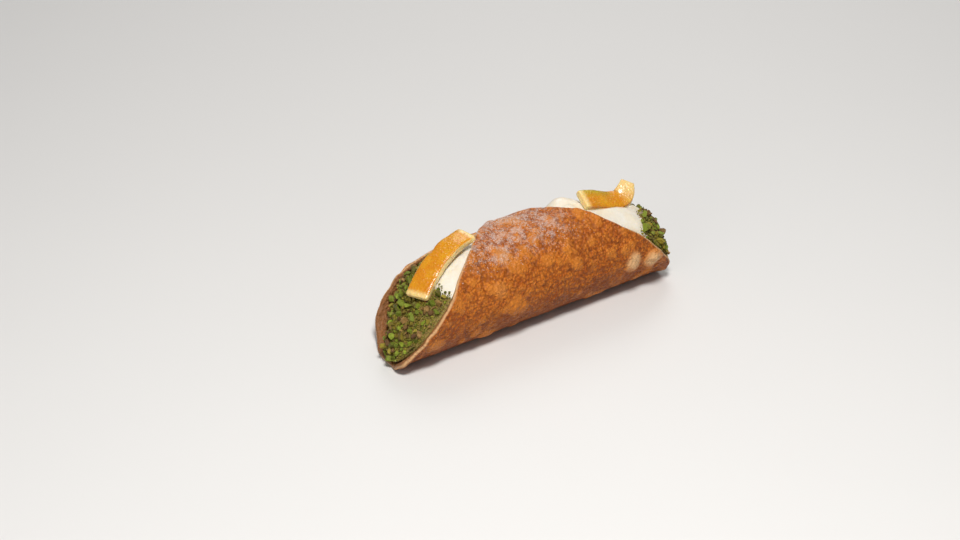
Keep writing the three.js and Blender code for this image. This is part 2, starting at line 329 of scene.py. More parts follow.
class Nodes:
    """Puts shader nodes in a tree. A socket takes a value, or joins another node's output."""

    def __init__(self, tree):
        self.tree = tree

    def put(self, kind, sockets=None, **settings):
        node = self.tree.nodes.new("ShaderNode" + kind)
        for name, value in settings.items():
            setattr(node, name, value)
        for key, value in (sockets or {}).items():
            socket = node.inputs[key]
            if isinstance(value, bpy.types.NodeSocket):
                self.tree.links.new(value, socket)
            else:
                socket.default_value = (*value, 1.0) if socket.type == "RGBA" else value
        return node

    def mask(self, name):
        """One of the mesh's own masks."""
        return self.put("Attribute", attribute_name=name).outputs["Fac"]

    def maths(self, operation, *values):
        return self.put("Math", dict(enumerate(values)), operation=operation).outputs[0]

    def times(self, first, second):
        return self.maths("MULTIPLY", first, second)

    def fade(self, value, low, high, to_low=0.0, to_high=1.0):
        """Passes smoothly from to_low to to_high as the value passes from low to high."""
        sockets = {"Value": value, "From Min": low, "From Max": high}
        sockets |= {"To Min": to_low, "To Max": to_high}
        return self.put("MapRange", sockets, interpolation_type="SMOOTHSTEP").outputs["Result"]

    def mix(self, mask, under, over):
        """The colour over shows on the colour under where the mask is 1."""
        sockets = {0: mask, 6: under, 7: over}
        return self.put("Mix", sockets, data_type="RGBA", clamp_factor=True).outputs[2]

    def layers(self, colour, *layers):
        """A colour under others, each with its mask and its strength."""
        for mask, strength, over in layers:
            colour = self.mix(self.times(mask, strength), colour, over)
        return colour

    def shared(self, name, **values):
        """Places a shared group with its own values, and gives its one output or all of them."""
        outputs = self.put("Group", values, node_tree=shared_group(name)).outputs
        return outputs[0] if len(outputs) == 1 else outputs


def grain(nodes, place, given):
    """Fine lumps all over a surface, for its height and for its mottling."""
    sockets = {"Vector": place, "Detail": 4.0, "Scale": given["Scale"]}
    noise = nodes.put("TexNoise", sockets | {"Roughness": given["Roughness"]})
    return {"Value": noise.outputs["Fac"]}


def blotches(nodes, place, given):
    """Uneven patches with soft rims, as a mask."""
    sockets = {"Vector": place, "Detail": 3.0, "Scale": given["Scale"]}
    noise = nodes.put("TexNoise", sockets | {"Distortion": given["Warp"]})
    return {"Mask": nodes.fade(noise.outputs["Fac"], given["Low"], given["High"])}


def bubbles(nodes, place, given):
    """Small closed bubbles side by side, each a dome."""
    shift = nodes.put("TexNoise", {"Vector": place, "Scale": 500.0, "Detail": 2.0})
    sockets = {0: shift.outputs["Color"], 1: (0.5, 0.5, 0.5)}
    centred = nodes.put("VectorMath", sockets, operation="SUBTRACT")
    sockets = {0: centred.outputs[0], "Scale": given["Warp"]}
    scaled = nodes.put("VectorMath", sockets, operation="SCALE")
    moved = nodes.put("VectorMath", {0: place, 1: scaled.outputs[0]}, operation="ADD")
    sockets = {"Vector": moved.outputs[0], "Scale": given["Scale"], "Smoothness": 0.35}
    cells = nodes.put("TexVoronoi", sockets, feature="SMOOTH_F1")
    return {"Height": nodes.fade(cells.outputs["Distance"], 0.75, 0.05)}


def ground_crumbs(nodes, place, given):
    """Fine crumbs side by side: each one's own shade, and its dome."""
    sockets = {"Vector": place, "Scale": given["Scale"], "Detail": 2.0, "Roughness": 0.7}
    cells = nodes.put("TexVoronoi", sockets, feature="F1")
    shade = nodes.put("SeparateColor", {0: cells.outputs["Color"]})
    return {
        "Shade": shade.outputs[0],
        "Height": nodes.fade(cells.outputs["Distance"], 0.8, 0.1),
    }


SHARED_GROUPS = {
    # name: (its inputs with their usual values, what makes its outputs)
    "Grain": ({"Scale": 900.0, "Roughness": 0.6}, grain),
    "Blotches": ({"Scale": 120.0, "Low": 0.4, "High": 0.6, "Warp": 0.4}, blotches),
    "Bubbles": ({"Scale": 700.0, "Warp": 0.0006}, bubbles),
    "Ground crumbs": ({"Scale": 1300.0}, ground_crumbs),
}


def shared_group(name):
    """The node group of this name, which is made the first time that it's asked for."""
    if name in bpy.data.node_groups:
        return bpy.data.node_groups[name]
    group = bpy.data.node_groups.new(name, "ShaderNodeTree")
    inputs, make = SHARED_GROUPS[name]
    for label, usual in inputs.items():
        socket = group.interface.new_socket(label, in_out="INPUT", socket_type="NodeSocketFloat")
        socket.default_value = usual
    nodes = Nodes(group)
    given = group.nodes.new("NodeGroupInput").outputs
    made = make(nodes, nodes.put("TexCoord").outputs["Object"], given)
    for label in made:
        group.interface.new_socket(label, in_out="OUTPUT", socket_type="NodeSocketFloat")
    end = group.nodes.new("NodeGroupOutput")
    for label, value in made.items():
        group.links.new(value, end.inputs[label])
    return group


class Finish(Nodes):
    """The nodes of one material, which its shader ends."""

    def __init__(self, name):
        self.material = bpy.data.materials.new(name)
        self.material.use_nodes = True
        super().__init__(self.material.node_tree)
        self.tree.nodes.clear()

    def done(self, sockets, *heights):
        """The material, with its shader's sockets and its bumps' heights and depths in metres."""
        normal = {}
        for height, depth in heights:
            sizes = {"Height": height, "Distance": depth, "Strength": 1.0}
            normal = {"Normal": self.put("Bump", sizes | normal).outputs["Normal"]}
        shader = self.put("BsdfPrincipled", sockets | normal)
        self.put("OutputMaterial", {"Surface": shader.outputs[0]}, is_active_output=True)
        return self.material


def depth_of_light(weight, radius, scale):
    """The shader's sockets that say how light spreads under a surface."""
    return {"Subsurface Weight": weight, "Subsurface Radius": radius, "Subsurface Scale": scale}


# ---- the pastry ----

PASTRY_ROWS = 270
PASTRY_COLUMNS = 250
EDGE_STEPS = np.array((0.0, 0.07, 0.22, 0.45, 0.75, 1.1))  # how far in each row of the rounding is
INSIDE_LIP_COLUMNS = 18
INSIDE_SKIP = 9  # the outer face's columns to each of the inner one's
RAGGEDNESS = 0.35
APART = (150.0, 0.0, 0.0)  # keeps the near lip's noise from being the far one's
LIP_SWELL = 0.7  # how much thicker the dough's bubbly lips are
LIP_SWELL_LENGTH = 3.5
SEAM_THINNING = 0.45  # of the outer flap, where it lies on the inner one
COVERED_TURNS = (INNER_CUT - 62.0, INNER_CUT - 50.0)  # of the inner flap, under the outer one
UNDERSIDE = (128.0, 155.0)  # degrees from the top, where it lies flat
UNDERSIDE_FLATNESS = 0.85
MIDDLING_BUBBLES = ((1.2, 3.6), (0.28, 0.8))  # radii and heights
SMALL_BUBBLES = ((0.6, 1.35), (0.16, 0.42))
BUBBLE_SLACK = 0.6
WARP = 0.8  # how far the noise pulls a blister out of round
FAINT_EVERY = 3
FAINTNESS = 0.45
SUGAR_TOP = 4.0  # degrees: the middle of the dusting
SUGAR_THINNING = (22.0, 74.0)
SUGAR_MIDDLE = -7.0
SUGAR_REACH = (16.0, 50.0)


def blister_list():
    """(x, angle, radius, height) of each broad blister."""
    draw = frame_draws(BLISTER_SEED)
    found = []
    for i in range(BLISTERS):
        x = draw(-BLISTER_ZONE, BLISTER_ZONE)
        angle = i * 360.0 / BLISTERS + draw(-BLISTER_JITTER, BLISTER_JITTER)
        found.append((x, angle, draw(*BLISTER_RADII), draw(*BLISTER_HEIGHTS)))
    return found


def broad_relief(x, angle, blisters):
    relief = np.zeros_like(x)
    for middle, at, radius, height in blisters:
        share = np.hypot(x - middle, wrapped(angle - at) * ARC) / radius
        relief += np.where(share < 1.0, height * np.clip(1.0 - share**2, 0.0, 1.0) ** 2, 0.0)
    return relief


def scattered_bubbles(random, count, radii, heights):
    """(x, arc along the dough, radius, height) of small bubbles."""
    turns = random.uniform(-INNER_CUT + 2.0, OUTER_REACH - 2.0, count)
    x = random.uniform(-1.0, 1.0, count) * half_length(turns)
    size = random.random(count) ** 1.7
    height = lerp(*heights, size) * random.uniform(0.7, 1.15, count)
    return np.stack((x, turns * ARC, lerp(*radii, size), height), axis=1)


def bubble_relief(x, arcs, bubbles, squareness):
    """The highest bubble at each point of a grid whose rows lie at these arcs."""
    relief = np.zeros_like(x)
    mean_arcs = arcs.mean(axis=1)
    for middle, arc, radius, height in bubbles:
        reach = radius + BUBBLE_SLACK
        first, last = np.searchsorted(mean_arcs, (arc - reach, arc + reach))
        share = ((x[first:last] - middle) ** 2 + (arcs[first:last] - arc) ** 2) / radius**2
        dome = height * np.clip(1.0 - share, 0.0, 1.0) ** squareness
        np.maximum(relief[first:last], dome, out=relief[first:last])
    return relief


def spaced_rows():
    """The turn of each row, close together at both tips, where the dough is rounded."""
    steps = EDGE_STEPS / ARC
    middle = np.linspace(-INNER_CUT + steps[-1], OUTER_REACH - steps[-1], PASTRY_ROWS)
    return np.concatenate((-INNER_CUT + steps[:-1], middle, OUTER_REACH - steps[:-1][::-1]))


def pastry_grid():
    """x, turn and the distances from the nearest lip and edge, for every point of the dough."""
    turns = spaced_rows()
    angle = WRAP_CENTRE - turns
    half = half_length(turns)
    rough = on_tube(half, angle, OUTER_RADIUS)
    ragged = RAGGEDNESS * ramp(4.0, 20.0, half)
    near = -wavy_edge(half, angle, -1) - ragged * noise("near lip", rough - APART)
    far = wavy_edge(half, angle, 1) + ragged * noise("far lip", rough)
    near, far, arcs = near[:, None], far[:, None], turns * ARC
    rounding, inset = EDGE_STEPS[:-1], EDGE_STEPS[-1]
    middle = lerp(near + inset, far - inset, np.linspace(0.0, 1.0, PASTRY_COLUMNS))
    x = np.concatenate((near + rounding, middle, far - rounding[::-1]), axis=1)
    slants = [np.sqrt(1.0 + np.gradient(lip, arcs, axis=0) ** 2) for lip in (near, far)]
    to_lip = np.minimum((x - near) / slants[0], (far - x) / slants[1])
    to_tip = np.minimum(arcs - arcs[0], arcs[-1] - arcs)[:, None]
    return x, np.broadcast_to(turns[:, None], x.shape), to_lip, np.minimum(to_lip, to_tip)


def pastry_faces(rows, columns, kept):
    """Quads of the outer grid, and the inner face's on fewer columns, joined along the edges.

    kept are the columns that the inner face has. Its inner points follow the outer grid's."""
    outer = np.arange(rows * columns).reshape(rows, columns)
    faces = quads_between(outer[:, :-1], outer[:, 1:])
    inner = outer.copy()
    own = inner[1:-1, kept[1:-1]]
    inner[1:-1, kept[1:-1]] = outer.size + np.arange(own.size).reshape(own.shape)
    for row in range(rows - 1):
        for left, right in itertools.pairwise(kept):
            ends, every = np.array((left, right)), np.arange(left, right + 1)
            first = inner[row, every if row == 0 else ends]
            last = inner[row + 1, every if row == rows - 2 else ends]
            faces.append([*first[::-1], *last])
    return faces


def sugar_cover(x, angle):
    """How thickly icing sugar lies, from 0 to 1: most along the top, at mid length."""
    over_top = 1.0 - ramp(*SUGAR_THINNING, np.abs(wrapped(angle) - SUGAR_TOP))
    along = 1.0 - ramp(*SUGAR_REACH, np.abs(x - SUGAR_MIDDLE))
    return over_top * (0.2 + 0.8 * along)


def pastry_relief(settings, x, turns, base):
    """How far the blisters and bubbles stand out, and how pale they are."""
    angle, arcs = WRAP_CENTRE - turns, turns * ARC
    warp, drift = (WARP * noise("blisters " + way, base) for way in ("along", "round"))
    random = np.random.default_rng(settings.seed)
    blisters = blister_list()
    broad = broad_relief(x + warp, angle + drift / ARC, blisters)
    pale = broad_relief(x + warp * 0.7, angle + drift * 0.7 / ARC, PALE_BLISTERS)
    fainter = blisters[::FAINT_EVERY]
    faint = FAINTNESS * broad_relief(x + warp * 1.6, angle + drift * 1.4 / ARC, fainter)
    middling = scattered_bubbles(random, settings.bubbles, *MIDDLING_BUBBLES)
    small = scattered_bubbles(random, settings.small_bubbles, *SMALL_BUBBLES)
    bubbles = bubble_relief(x + warp, arcs + drift, middling, 0.8)
    specks = bubble_relief(x + warp * 0.4, arcs + drift * 0.4, small, 1.0)
    thick = ramp(-0.35, 0.3, noise("small bubbles", base))
    relief = broad + pale + np.maximum(bubbles, specks * (0.4 + 0.8 * thick))
    relief += 0.16 * noise("dough's swells", base) + 0.05 * noise("dough's grain", base)
    return relief, np.maximum(pale, faint)


def pastry_shape(settings):
    """The points, faces and masks of the dough, with its blisters."""
    x, turns, to_lip, to_edge = pastry_grid()
    rows, columns = x.shape
    angle = WRAP_CENTRE - turns
    base = on_tube(x, angle, OUTER_RADIUS)
    relief, pale = pastry_relief(settings, x, turns, base)
    covered = ramp(*COVERED_TURNS, -turns)
    resting = UNDERSIDE_FLATNESS * ramp(*UNDERSIDE, np.abs(wrapped(angle)))
    relief *= (1.0 - covered) * (1.0 - resting) * ramp(0.0, 1.2, to_edge)
    round_share = 1.0 - np.clip(to_edge / EDGE_STEPS[-1], 0.0, 1.0)
    squeeze = WALL / 2.0 * (1.0 - np.sqrt(1.0 - round_share**2))
    flare = LIP_FLARE * (1.0 - ramp(0.0, LIP_FLARE_LENGTH, to_lip))
    lumpy = ramp(-0.5, 0.9, noise("lip's lumps", base))
    swell = LIP_SWELL * lumpy * (1.0 - ramp(0.0, LIP_SWELL_LENGTH, to_lip)) * (1.0 - covered)
    swell *= ramp(8.0, 22.0, half_length(turns))
    radius = OUTER_RADIUS + offset(turns) + flare
    outside = on_tube(x, angle, radius + swell + relief - squeeze)
    wall = WALL - SEAM_THINNING * ramp(*LIFT_TURNS, turns)
    dents = 0.12 * noise("inside dents", base) * ramp(0.0, 1.6, to_edge)
    inside = on_tube(x, angle, radius - np.maximum(wall - squeeze, squeeze) + dents)
    outside[..., 2] = np.maximum(outside[..., 2], np.minimum(squeeze, WALL / 2.0))
    inside[..., 2] = np.maximum(inside[..., 2], WALL - squeeze)
    border = to_edge <= 0.0
    inside[border] = outside[border]
    middle = np.arange(INSIDE_LIP_COLUMNS, columns - INSIDE_LIP_COLUMNS, INSIDE_SKIP)
    lip = np.arange(INSIDE_LIP_COLUMNS)
    kept = np.concatenate((lip, middle, lip + columns - INSIDE_LIP_COLUMNS))
    inner = inside[1:-1, kept[1:-1]].reshape(-1, 3)
    points = np.concatenate((outside.reshape(-1, 3), inner))
    masks = {
        # painted shade: the dough darkens towards its underside
        "underside_shade": ramp(80.0, 135.0, np.abs(wrapped(angle))),
        "blister": np.clip(relief / 1.2, 0.0, 1.0),
        "pale": np.clip(pale, 0.0, 1.0),
        "edge": 1.0 - ramp(0.0, 1.5, to_edge),
        # the inner face: its own colour, darkened by painted shade
        "shaded_lining": 0.5 * border,
        "sugar": sugar_cover(x, angle) * (1.0 - covered),
    }
    for name, mask in masks.items():
        masks[name] = np.append(mask, np.full(len(inner), float(name == "shaded_lining")))
    return points, pastry_faces(rows, columns, kept), masks


def pastry_material(settings):
    finish = Finish("fried_pastry")
    fine = finish.shared("Grain", Scale=1100.0, Roughness=0.65)
    flecks = finish.shared("Blotches", Scale=620.0, Low=0.42, High=0.66, Warp=0.5)
    patches = finish.shared("Blotches", Scale=95.0, Low=0.38, High=0.66, Warp=0.8)
    scorch = finish.shared("Blotches", Scale=300.0, Low=0.52, High=0.7, Warp=0.6)
    tiny = finish.shared("Bubbles", Scale=820.0, Warp=0.0007)
    freckled = finish.maths("SUBTRACT", 1.0, finish.times(scorch, 0.5))
    pale = finish.times(finish.fade(finish.mask("pale"), 0.0, 1.15), freckled)
    colour = finish.layers(
        finish.mix(patches, settings.dough, settings.toasted),
        (flecks, 0.6, settings.golden),
        (scorch, 0.7, settings.dark),
        # painted shade on the underside
        (finish.mask("underside_shade"), 0.5, settings.dark),
        # painted shade in the hollows between the small bubbles
        (finish.fade(tiny, 0.5, 0.0), 0.6, settings.dark),
        (finish.fade(finish.mask("blister"), 0.15, 0.6), 0.55, settings.golden),
        (pale, 0.95, settings.blister),
        (finish.fade(finish.mask("edge"), 0.35, 1.0), 0.8, settings.blister),
        # the inner face, darkened by painted shade
        (finish.mask("shaded_lining"), 0.8, settings.shaded_lining),
    )
    clumps = finish.shared("Blotches", Scale=330.0, Low=0.3, High=0.7, Warp=0.4)
    dust = finish.shared("Grain", Scale=1700.0, Roughness=0.8)
    uneven = finish.maths("MULTIPLY_ADD", clumps, 0.55, 0.45)
    cover = finish.times(finish.times(finish.mask("sugar"), uneven), 0.42)
    bare = finish.maths("SUBTRACT", 0.74, cover)
    sugared = finish.fade(dust, bare, finish.maths("ADD", bare, 0.22), 0.0, settings.sugar)
    oily = finish.fade(fine, 0.3, 0.7, 0.36, 0.62)
    sockets = {
        "Base Color": finish.mix(sugared, colour, settings.sugar_colour),
        "Roughness": finish.maths("MAXIMUM", oily, finish.times(sugared, 0.85)),
        "Specular IOR Level": 0.25,
    }
    sockets |= depth_of_light(0.06, (0.8, 0.4, 0.15), 0.002)
    return finish.done(sockets, (tiny, 0.0004), (fine, 0.0003), (sugared, 0.00008))


class PastrySettings(bpy.types.PropertyGroup):
    seed: IntProperty(name="Seed", description="Chooses where the bubbles lie", default=5)
    bubbles: IntProperty(name="Bubbles", description="Bubbles as wide as a pea", default=700, min=0)
    small_bubbles: IntProperty(
        name="Small bubbles", description="Bubbles as wide as a lentil", default=6500, min=0
    )
    sugar: FloatProperty(
        name="Sugar", description="How much the dusting hides", default=0.48, min=0.0, max=1.0
    )
    dough: colour_property("Dough", "Fried dough", (0.50, 0.130, 0.009))
    toasted: colour_property("Toasted", "Patches fried longer", (0.39, 0.086, 0.005))
    golden: colour_property("Golden", "Flecks and bubbles", (0.70, 0.235, 0.026))
    # the scorched spots' own colour, also used as painted shade in the bubbles' hollows and on the
    # underside
    dark: colour_property("Dark", "Scorched spots and hollows", (0.17, 0.038, 0.005))
    blister: colour_property("Pale blister", "Large blisters and lips", (0.70, 0.43, 0.21))
    # the inner face's colour, darkened by painted shade
    shaded_lining: colour_property("Lining", "The pastry's inner face", (0.23, 0.11, 0.045))
    sugar_colour: colour_property("Icing sugar", "Icing sugar", (0.70, 0.615, 0.58))


class CANNOLO_OT_pastry(bpy.types.Operator):
    """Adds the fried pastry, wound from one oval of dough"""

    bl_idname = "cannolo.pastry"
    bl_label = "Pastry"

    def execute(self, context):
        settings = context.scene.cannolo_pastry
        shape, material = pastry_shape(settings), pastry_material(settings)
        piece = new_piece(context, "fried_shell", shape, material)
        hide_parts("shell")
        return {"FINISHED"}


# ---- the cream ----

CREAM_SIDES = 168
CREAM_RINGS = 46
BARREL_RINGS = 14
SPILL = (29.0, -22.0, 5.6)  # cream pressed up between the flaps: x, angle, height
SPILL_LENGTH = 9.0
SPILL_ARC = 22.0  # degrees
RAGGED_COAT = 2.6
PEEL_SPAN_STEPS = 24
BIT_ROOM = 0.6  # the share of a bit's radius that stays clear of a peel
PEEL_PRESSES = (0.36, 0.52)  # the shares of a peel's width over which its dent fades


def cream_radius(angle):
    """The cream's radius inside the pastry, from the inner flap out to the outer one."""
    inner_end = wrapped(WRAP_CENTRE + INNER_CUT)
    past_end = ramp(inner_end + 3.0, inner_end + 13.0, wrapped(angle))
    inner_turn = np.mod(np.asarray(angle, float) - WRAP_CENTRE, 360.0)
    inner = inner_offset(inner_turn) * (1.0 - past_end)
    outer = outer_offset(WRAP_CENTRE - wrapped(angle)) * past_end
    return OUTER_RADIUS - WALL - CREAM_CLEARANCE + inner + outer


def scrape_at(y, z):
    """How far out a level scrape from lip to lip across the near mouth lies."""
    bore = OUTER_RADIUS - WALL
    rise = np.clip((z - AXIS_HEIGHT) / bore, -0.999, 0.999)
    angle = np.degrees(np.arccos(rise))
    half_width = bore * np.sqrt(1.0 - rise**2)
    front_share = np.clip(0.5 - y / (2.0 * half_width), 0.0, 1.0)
    return lerp(lip_at(-angle, -1), lip_at(angle, -1), front_share)


def mouth_normal(end):
    return np.array((end * math.cos(MOUTH_SLOPE), 0.0, math.sin(MOUTH_SLOPE)))


def back_recess(angle, share):
    """How far the near cream is sunk along the back lip, where the pastry's inside is bare."""
    turned_back = -wrapped(angle)
    at_back = ramp(*RECESS_BEGINS, turned_back) * (1.0 - ramp(*RECESS_ENDS, turned_back))
    low = ramp(*RECESS_DEEPENS, turned_back)
    sunk = ramp(0.0, 1.0, (share - lerp(*RECESS_STARTS, low)) / lerp(*RECESS_LENGTHS, low))
    return lerp(*BACK_RECESS, low) * at_back * sunk


def above_floor(points):
    """Keeps the cream off the pastry's flat underside."""
    points[..., 2] = np.maximum(points[..., 2], WALL + CREAM_CLEARANCE)
    return points


def on_near_heap(angle, share):
    points = above_floor(on_tube(0.0, angle, cream_radius(angle) * share))
    points[..., 0] = CREAM_SETBACK - scrape_at(points[..., 1], points[..., 2])
    points[..., 0] += back_recess(angle, share)
    rise = NEAR_HEAP * (1.0 - share**NEAR_SQUARENESS)
    return points + rise[..., None] * mouth_normal(-1)


def on_far_heap(angle, share):
    turn = np.pi / 2.0 * (1.0 - share)
    x = lerp(lip_at(angle, 1) - CREAM_SETBACK, FAR_POLE, np.sin(turn) ** FAR_BLUNTNESS)
    middle_x, middle_angle, height = SPILL
    away = np.hypot((x - middle_x) / SPILL_LENGTH, (wrapped(angle) - middle_angle) / SPILL_ARC)
    swell = height * np.exp(-(away**2)) * ramp(0.0, 0.012, 1.0 - share)
    return above_floor(on_tube(x, angle, cream_radius(angle) * np.cos(turn) + swell))


def on_heap(end, angle, share):
    """The points on a mouth's cream, at an angle and a share of the way out to its rim."""
    angle, share = np.broadcast_arrays(np.asarray(angle, float), np.asarray(share, float))
    return on_near_heap(angle, share) if end < 0 else on_far_heap(angle, share)


def heap_normals(end, angle, share):
    centre = on_heap(end, angle, share)
    out = on_heap(end, angle, np.minimum(share + 0.01, 0.999)) - centre
    normal = np.cross(out, on_heap(end, angle + 1.0, share) - centre)
    normal /= np.linalg.norm(normal, axis=-1, keepdims=True) + 1e-9
    return normal * np.sign(np.sum(normal * mouth_normal(end)))


def along_curve(wanted, along, points):
    """The points at these lengths along a curve."""
    return np.stack([np.interp(wanted, along, column) for column in points.T], axis=1)


def peel_curve(line, steps):
    """Points along a smooth curve through a peel's points, evenly spaced."""
    held = np.asarray(line, float)
    held = np.concatenate((2.0 * held[:1] - held[1:2], held, 2.0 * held[-1:] - held[-2:-1]))
    found = []
    for a, b, c, d in zip(held[:-3], held[1:-2], held[2:-1], held[3:]):
        for share in np.linspace(0.0, 1.0, PEEL_SPAN_STEPS, endpoint=False):
            bend = (c - a) * share + (2 * a - 5 * b + 4 * c - d) * share**2
            found.append(b + 0.5 * (bend + (3 * b - a - 3 * c + d) * share**3))
    found = np.array([*found, held[-2]])
    along = np.concatenate(((0.0,), np.cumsum(np.linalg.norm(np.diff(found, axis=0), axis=1))))
    return along_curve(np.linspace(0.0, along[-1], steps), along, found)


def peel_frame(curve, roll):
    """The directions along, across and up from a peel's centre line."""
    ahead = unit(np.gradient(curve, axis=0))
    level = unit(np.cross((0.0, 0.0, 1.0), ahead))
    turn = math.radians(roll)
    across = level * math.cos(turn) + np.cross(ahead, level) * math.sin(turn)
    return ahead, across, np.cross(ahead, across)


def clear_of_peel(end, places, radii):
    """Whether each bit lies outside the strip."""
    line, roll = PEELS[end]
    curve = peel_curve(line, 80)
    nearest = np.linalg.norm(places[:, None] - curve[None], axis=2).argmin(axis=1)
    away = places - curve[nearest]
    along, across, up = (np.abs(np.sum(away * d[nearest], axis=1)) for d in peel_frame(curve, roll))
    room = radii * BIT_ROOM
    inside = (along < radii) & (across < PEEL_WIDTH * 0.55 + room)
    return ~(inside & (up < PEEL_THICKNESS * 0.5 + room))


def press_under_peels(points):
    """Pushes the cream down where a peel lies on it."""
    fades = [PEEL_WIDTH * share for share in PEEL_PRESSES]
    for line, roll in PEELS.values():
        curve = peel_curve(line, 60)
        across = peel_frame(curve, roll)[1]
        gaps = np.linalg.norm(points[:, None, :2] - curve[None, :, :2], axis=2)
        nearest = gaps.argmin(axis=1)
        beside = np.sum((points - curve[nearest])[:, :2] * across[nearest, :2], axis=1)
        tilt = across[nearest, 2] / np.sum(across[nearest, :2] ** 2, axis=1)
        bottom = curve[nearest, 2] + beside * tilt - PEEL_THICKNESS * 0.5
        depth = np.maximum(points[:, 2] - bottom, 0.0) * (points[:, 2] > AXIS_HEIGHT)
        points[:, 2] -= depth * (1.0 - ramp(*fades, gaps.min(axis=1)))
    return points


def coat_edge(points):
    """How far past the edge of the crumbs' coat each point lies."""
    x, y = points[..., 0], points[..., 1]
    ragged = RAGGED_COAT * noise("coat's edge", points)
    at_back = ramp(*COAT_BACK, y)
    near_start = NEAR_COAT - NEAR_COAT_WIDENING * at_back
    far_start = FAR_COAT + FAR_COAT_NARROWING * ramp(*FAR_COAT_FRONT, y)
    far_start -= FAR_COAT_WIDENING * at_back
    return np.abs(x) - np.where(x < 0.0, near_start, far_start) + ragged


def cream_shape():
    """The points, faces and masks of the cream, which runs through the whole tube."""
    angles = np.arange(CREAM_SIDES) * 360.0 / CREAM_SIDES
    shares = np.sin(np.linspace(0.0, np.pi / 2.0, CREAM_RINGS + 1))[1:]
    near = np.stack([on_heap(-1, angles, share) for share in shares])
    far = np.stack([on_heap(1, angles, share) for share in shares])[::-1]
    barrel = [lerp(near[-1], far[0], i / BARREL_RINGS) for i in range(1, BARREL_RINGS)]
    rings = np.concatenate((near, np.stack(barrel), far))
    poles = np.stack((on_heap(-1, 0.0, 0.0), on_heap(1, 0.0, 0.0)))
    points = np.concatenate((rings.reshape(-1, 3), poles))
    out = unit((points - (0.0, 0.0, AXIS_HEIGHT)) * (0.25, 1.0, 1.0))
    lumps = 0.42 * noise("cream's lumps", points) + 0.07 * noise("cream's grain", points)
    ring_shares = np.concatenate((shares, np.ones(len(barrel)), shares[::-1]))
    in_mouth = np.append(np.repeat(ring_shares, CREAM_SIDES), (0.0, 0.0))
    points = points + out * (lumps * (1.0 - ramp(0.86, 1.0, in_mouth)))[:, None]
    points = press_under_peels(points)
    masks = {"coated": np.clip(coat_edge(points) / 3.0 + 0.5, 0.0, 1.0)}
    return points, tube_faces(len(rings), CREAM_SIDES), masks


def cream_material(settings):
    finish = Finish("ricotta_cream")
    fine = finish.shared("Grain", Scale=1500.0, Roughness=0.6)
    curds = finish.shared("Grain", Scale=480.0, Roughness=0.55)
    patches = finish.shared("Blotches", Scale=140.0, Low=0.35, High=0.7, Warp=0.4)
    ground = finish.shared("Ground crumbs", Scale=1300.0)
    cream = finish.mix(patches, settings.cream, settings.shade)
    # fine crumbs under the coat, darkened by painted shade between the larger pieces
    dark = finish.mix(ground["Shade"], settings.dark_dusting_and_shade, settings.dusting_and_shade)
    lighter = finish.fade(ground["Shade"], 0.72, 0.95)
    dusting_and_shade = finish.mix(lighter, dark, settings.dusting_light)
    coated = finish.fade(finish.mask("coated"), 0.3, 0.75)
    smooth = finish.fade(fine, 0.3, 0.7, 0.38, 0.55)
    sockets = {
        "Base Color": finish.mix(coated, cream, dusting_and_shade),
        "Roughness": finish.maths("MAXIMUM", smooth, finish.times(coated, 0.75)),
    }
    sockets |= depth_of_light(0.25, (1.0, 0.8, 0.55), 0.003)
    crumbled = finish.times(ground["Height"], coated)
    return finish.done(sockets, (curds, 0.00035), (fine, 0.00012), (crumbled, 0.0006))


class CreamSettings(bpy.types.PropertyGroup):
    cream: colour_property("Cream", "Ricotta cream", (0.81, 0.77, 0.68))
    shade: colour_property("Shade", "Warmer patches in it", (0.79, 0.71, 0.56))
    # fine crumbs' colours, darkened by painted shade between the larger pieces
    dusting_and_shade: colour_property("Dusting", "Cream under the crumbs", (0.10, 0.075, 0.012))
    dark_dusting_and_shade: colour_property(
        "Dark dusting", "Fine crumbs between the larger ones", (0.035, 0.03, 0.005)
    )
    dusting_light: colour_property(
        "Light dusting", "Pale specks among them", (0.30, 0.22, 0.05)
    )


class CANNOLO_OT_cream(bpy.types.Operator):
    """Adds the ricotta cream that fills the pastry from mouth to mouth"""

    bl_idname = "cannolo.cream"
    bl_label = "Cream"

    def execute(self, context):
        material = cream_material(context.scene.cannolo_cream)
        piece = new_piece(context, "ricotta", cream_shape(), material)
        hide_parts("filling")
        return {"FINISHED"}


# ---- the chopped pistachio ----

GOLDEN_ANGLE = math.pi * (3.0 - math.sqrt(5.0))
LIP_CLEARANCE = 0.15
NUT_SHAPES = 16
NUT_NARROWEST = 0.75
NUT_THINNEST = 0.6
CROWDING = 0.66  # how near two pieces come, in sums of their radii
KERNEL_CUTS = (3, 7)
KERNEL_DEPTHS = (0.15, 0.6)  # how far from the kernel's middle a cut passes
KERNEL_FLATNESS = 0.8
CRUMB_CORNERS = 9
RIM_SHARE = 0.985
JITTER = 25.0  # degrees
CRUMB_RADIUS = 0.8
DUST_RADIUS = 0.45
# (smallest radius, largest radius, tries over a whole mouth, how far each stands off the cream)
NUT_SIZES = (
    (1.5, 2.5, 330, 0.5),
    (0.95, 1.5, 1100, 0.6),
    (0.5, 0.95, 9000, 0.7),
    (0.25, 0.5, 22000, 0.8),
)
STRAYS = ((-1, 14), (1, 12))  # tries in each mouth
STRAY_ANGLE = 75.0
STRAY_SHARES = (0.35, 0.92)
STRAY_RADII = (0.3, 0.6)
STRAY_REACH = (-16.0, -2.0)  # how far past the coat's edge they lie
STRAY_HEIGHT = 0.25
GAP_BATCH = 400


